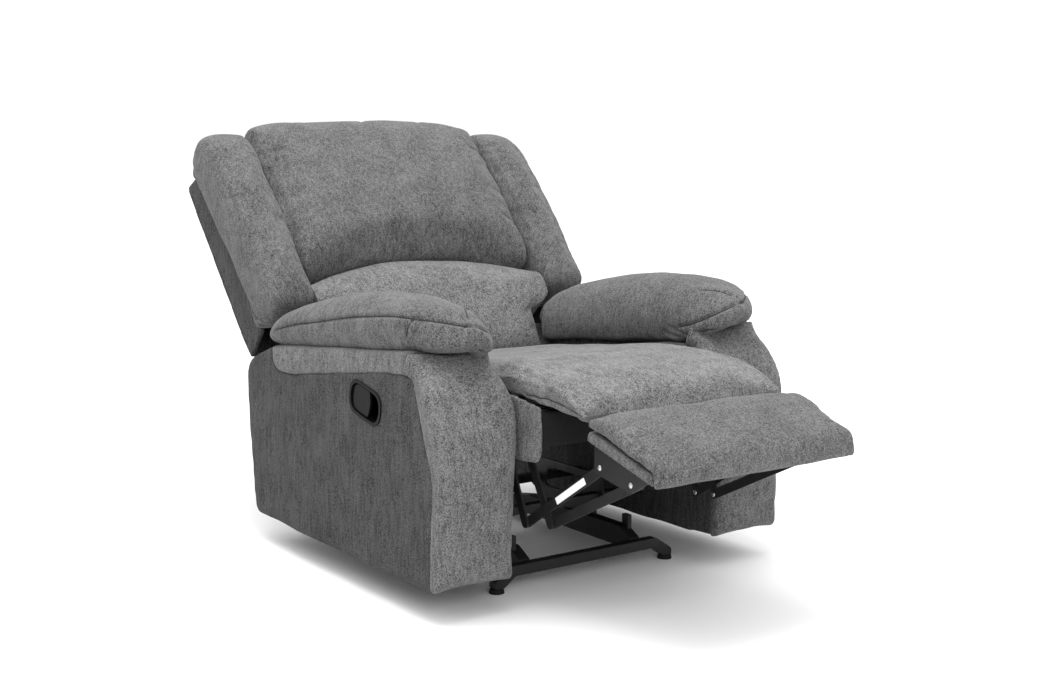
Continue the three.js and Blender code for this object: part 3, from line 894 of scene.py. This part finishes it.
def add_seat_sides():
    loop = [(-0.515, 0.4610, 0.01), (-0.518, 0.362, 0.03), (-0.503, 0.338, 0.02), (-0.45, 0.335),
            (0.06, 0.335), (0.06, 0.411), (-0.340, 0.472), (-0.417, 0.4735)]
    for name, side in SIDES.items():
        low, high = sorted((side * 0.2755, side * 0.2835))
        cheek = slab(f"seat_side_cover_{name}", rounded_loop(loop, 0.004, 0.006), low, high)
        soften(cheek, 2, 0.004)
        undulate(cheek, 0.002, 0.08, 11 + side)
        finish_piece(cheek, LIT_AND_SHADED_FABRIC["front"], "seat", [f"seat_side_{name}"])
    low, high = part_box("seat_front_rail")
    loop = [(low.y, low.z), (high.y, low.z), (high.y, high.z), (low.y, high.z)]
    rail = slab("seat_front_lining", rounded_loop(loop, 0.004, 0.006), low.x, high.x)
    soften(rail, 2, 0.005)
    finish_piece(rail, LINING, "seat", ["seat_front_rail"])


# ---------------------------------------------------------------- back

# The seam line between the back cushions: how far up the back it is, and how far its middle arches.
SEAM_UP = 0.360
SEAM_RISE = 0.066
UPPER_HALF_WIDTH = 0.3525


def back_loop(corners, radius, step=0.008):
    return np.array([leaning(s, t) for s, t in rounded_loop(corners, radius, step)])


def back_path(x, points):
    return [(x, *leaning(s, t)) for s, t in points]


def back_frame_of(co):
    """The s and t of points, as leaning takes them."""
    away = co[:, 1:] - BACK_PIVOT
    return away @ UP_BACK[1:], away @ OUT_OF_BACK[1:]


def slide_up(obj, lift):
    """Moves every point up the leaning back by its own lift."""
    set_coords(obj, coords(obj) + lift[:, None] * UP_BACK)


def arch(obj, half):
    """Lifts the seam line between the back cushions into a shallow arch, fading away from it."""
    co = coords(obj)
    s, _ = back_frame_of(co)
    near = np.exp(-((s - SEAM_UP) / 0.13) ** 2)
    slide_up(obj, SEAM_RISE * np.clip(1 - (co[:, 0] / half) ** 2, 0, 1) * near)


def widen(obj, factor, heights, halves):
    """Fills a pad out sideways, its flanks flat at the half-width given for each height up the back."""
    co = coords(obj)
    s, _ = back_frame_of(co)
    limit = np.interp(s, heights, halves)
    co[:, 0] = np.clip(co[:, 0] * factor, -limit, limit)
    set_coords(obj, co)


def add_back_cushions():
    add_upper_cushion()
    add_lumbar_cushion()


def add_upper_cushion():
    loop = [(0.342, -0.047), (0.348, 0.070, 0.03), (0.385, 0.100, 0.04), (0.46, 0.120, 0.09),
            (0.60, 0.129, 0.1), (0.77, 0.120, 0.06), (0.862, 0.088, 0.04), (0.866, 0.01, 0.03),
            (0.808, -0.047)]
    upper = slab("upper_back_pad", back_loop(loop, 0.01), -UPPER_HALF_WIDTH, UPPER_HALF_WIDTH)
    soften(upper, 8)
    puff(upper, 0.022, (ACROSS, UP_BACK, OUT_OF_BACK))
    co = coords(upper)
    s, _ = back_frame_of(co)
    crest = 0.034 - 0.052 * (np.abs(co[:, 0]) / UPPER_HALF_WIDTH) ** 4
    slide_up(upper, crest * np.clip((s - 0.55) / 0.25, 0, 1))
    arch(upper, 0.34)
    undulate(upper, 0.005, 0.13, 13)
    widen(upper, 1.045, [0, 1], [0.3565, 0.3565])
    subdivide(upper)
    finish_piece(upper, LIT_AND_SHADED_FABRIC["back"], "back", ["upper_cushion"])


def add_lumbar_cushion():
    """Narrow between the arm pillows, full width above them."""
    loop = [(0.088, -0.046), (0.088, 0.018, 0.02), (0.168, 0.052, 0.05), (0.262, 0.078, 0.05),
            (0.325, 0.092, 0.03), (0.345, 0.060, 0.03), (0.346, -0.046)]
    lumbar = slab("lumbar_back_pad", back_loop(loop, 0.008), -0.356, 0.356)
    widths = ([0.205, 0.222, 0.245, 0.30, 0.34], [0.2845, 0.330, 0.356, 0.3575, 0.350])
    apply_modifier(lumbar, "REMESH", mode="VOXEL", voxel_size=VOXEL)
    widen(lumbar, 1, *widths)
    soften(lumbar, 5)
    puff(lumbar, 0.020, (ACROSS, UP_BACK, OUT_OF_BACK))
    arch(lumbar, 0.34)
    undulate(lumbar, 0.004, 0.11, 15)
    widen(lumbar, 1.05, *widths)
    subdivide(lumbar)
    finish_piece(lumbar, LIT_AND_SHADED_FABRIC["seat"], "back", ["lumbar_cushion"])


def add_wings():
    """The bolsters beside the back cushions, their tops rounded and their outer sides flaring out."""
    loop = [(0.274, -0.050), (0.252, 0.05, 0.03), (0.262, 0.106, 0.03), (0.40, 0.124, 0.08),
            (0.62, 0.128, 0.08), (0.77, 0.108, 0.06), (0.848, 0.060, 0.04), (0.842, -0.02, 0.03),
            (0.805, -0.062)]
    left = slab("back_wing_pad_left", back_loop(loop, 0.01), 0.3585, 0.4900)
    soften(left, 8)
    puff(left, 0.012, (ACROSS, UP_BACK, OUT_OF_BACK))
    co = coords(left)
    s, _ = back_frame_of(co)
    off = np.clip((co[:, 0] - 0.415) / 0.075, -1, 1)
    drop = np.where(off > 0, 0.036 * np.abs(off) ** 2.5, 0.014 * off ** 2)
    slide_up(left, (0.008 - drop) * np.clip((s - 0.60) / 0.2, 0, 1))
    undulate(left, 0.004, 0.12, 17)
    co = coords(left)
    flare = np.clip((co[:, 0] - 0.40) / 0.08, 0, 1) * np.clip((s - 0.3) / 0.4, 0, 1)
    co[:, 0] += 0.014 * flare
    co[:, 0] = np.maximum(co[:, 0], 0.3575)
    set_coords(left, co)
    subdivide(left)
    right = mirrored(left, "back_wing_pad_right")
    for (name, side), obj in zip(SIDES.items(), (left, right)):
        edge = [(0.285, -0.020), (0.40, -0.022), (0.60, -0.028), (0.76, -0.032), (0.80, -0.030)]
        seam(obj, back_path(side * 0.502, edge), "back", 0.007, 0.007)
        for shift in (0.010, 0.018):
            top_stitch(obj, back_path(side * 0.502, [(s, t + shift) for s, t in edge]), "back")
        finish_piece(obj, LIT_AND_SHADED_FABRIC["back"], "back", [f"back_wing_{name}"])


def add_outside_back():
    """The outside back: its main panel, the flap hanging below, and the top and side covers."""
    loop = [(0.268, -0.163), (0.268, -0.151), (0.834, -0.151), (0.834, -0.163)]
    panel = slab("outside_back_cover", back_loop(loop, 0.003, 0.006), -0.46, 0.46)
    soften(panel, 2, 0.006)
    undulate(panel, 0.004, 0.14, 19)
    subdivide(panel)
    for x in (-0.40, 0.40):
        seam(panel, back_path(x, [(0.275, -0.165), (0.55, -0.165), (0.828, -0.165)]), "back")
    finish_piece(panel, LIT_AND_SHADED_FABRIC["side"], "back", ["back_panel"])
    flap_loop = [(-0.030, -0.176), (-0.030, -0.170, 0.002), (0.10, -0.163, 0.05), (0.2665, -0.153),
                 (0.2665, -0.160), (0.10, -0.169, 0.05)]
    flap = slab("outside_back_flap", back_loop(flap_loop, 0.002, 0.004), -0.278, 0.278)
    soften(flap, 1, 0.0035)
    undulate(flap, 0.003, 0.12, 23)
    finish_piece(flap, LIT_AND_SHADED_FABRIC["side"], "back")
    top_loop = [(0.834, -0.152, 0.003), (0.814, -0.048, 0.003), (0.807, -0.048, 0.003),
                (0.827, -0.152, 0.003)]
    top = slab("outside_back_top", back_loop(top_loop, 0.002, 0.004), -0.456, 0.456)
    soften(top, 2, 0.004)
    undulate(top, 0.003, 0.12, 27)
    finish_piece(top, LIT_AND_SHADED_FABRIC["side"], "back")
    side_loop = [(0.268, -0.1507), (0.281, -0.052), (0.811, -0.070), (0.834, -0.1507)]
    for name, side in SIDES.items():
        low, high = sorted((side * 0.449, side * 0.460))
        cover = slab(f"outside_back_side_{name}", back_loop(side_loop, 0.006, 0.006), low, high)
        soften(cover, 2, 0.005)
        undulate(cover, 0.003, 0.12, 21 + side)
        finish_piece(cover, LIT_AND_SHADED_FABRIC["side"], "back", [f"back_side_{name}"])


# ---------------------------------------------------------------- small metal and paper parts

# The scissor bars' pins in (y, z), as the CAD has them.
LINKS = {
    "main": {"seat": (-0.320, 0.412), "knee": (-0.424, 0.188), "foot": (-0.691, 0.362)},
    "support": {"seat": (-0.368, 0.430), "knee": (-0.500, 0.200), "foot": (-0.790, 0.345)},
}


def rivet_head(x, place, way):
    """A domed rivet head standing off a bar's face, towards way (+1 or -1) in x."""
    profile = [(0.0062, 0.0), (0.0060, 0.0008), (0.0047, 0.0019), (0.0026, 0.0025)]
    rings = []
    for radius, height in profile:
        angles = np.arange(20) * 2 * math.pi / 20
        rings.append([(x + way * height, place[0] + radius * math.cos(a), place[1] + radius * math.sin(a))
                      for a in angles])
    return loft("rivet", rings)


def add_rivets():
    """Bright heads on the inner faces of the scissor bars and on the footrest brackets."""
    rows = {
        # body: link, pin, x of the bar's face, way the head stands off it
        "main_rear": [("main", "seat", 0.2494, -1)],
        "main_front": [("main", "knee", 0.2434, -1), ("main", "foot", 0.2434, -1)],
        "support_rear": [("support", "seat", 0.2374, -1), ("support", "knee", 0.2374, -1)],
        "support_front": [("support", "knee", 0.2314, -1), ("support", "foot", 0.2314, -1)],
        "footrest": [("main", "foot", 0.2600, 1), ("support", "foot", 0.2600, 1)],
    }
    for body, row in rows.items():
        heads = [rivet_head(side * x, LINKS[link][pin], side * way)
                 for side in SIDES.values() for link, pin, x, way in row]
        finish_piece(join(f"rivet_heads_{body}", heads), RIVET, body)


def add_label():
    """A blank paper label on the outer face of the right front link."""
    knee, foot = (np.array(LINKS["main"][pin]) for pin in ("knee", "foot"))
    way = (foot - knee) / np.linalg.norm(foot - knee)
    side = np.array([-way[1], way[0]])
    near, far, half = 0.128, 0.245, 0.0075
    spans = ((near, -half), (far, -half), (far, half), (near, half))
    corners = [knee + way * a + side * b for a, b in spans]
    label = slab("blank_label", rounded_loop([tuple(c) for c in corners], 0.001, 0.003), -0.2495, -0.24905)
    finish_piece(label, LABEL, "main_front", smooth=False)


# ---------------------------------------------------------------- carried-over CAD nodes

def dress_cad_nodes():
    """Gives every CAD node the material of its slot."""
    by_slot = {"black_steel": STEEL, "black_plastic": PLASTIC, "foot_rubber": RUBBER, "board_wood": WOOD,
               "black_lining": LINING, "side_fabric": LIT_AND_SHADED_FABRIC["side"], "cushion_fabric": LIT_AND_SHADED_FABRIC["front"]}
    for entry in frame["record"]["subparts"]:
        node = frame["nodes"][entry["node"]]
        node.data.materials.clear()
        node.data.materials.append(by_slot[entry["material_slot"]])


add_camera()
add_studio()
dress_cad_nodes()
add_pillows()
add_arm_boxes()
add_arm_fronts()
add_seat()
add_footrest()
add_seat_sides()
add_back_cushions()
add_wings()
add_outside_back()
add_rivets()
add_label()
gather_sewing()
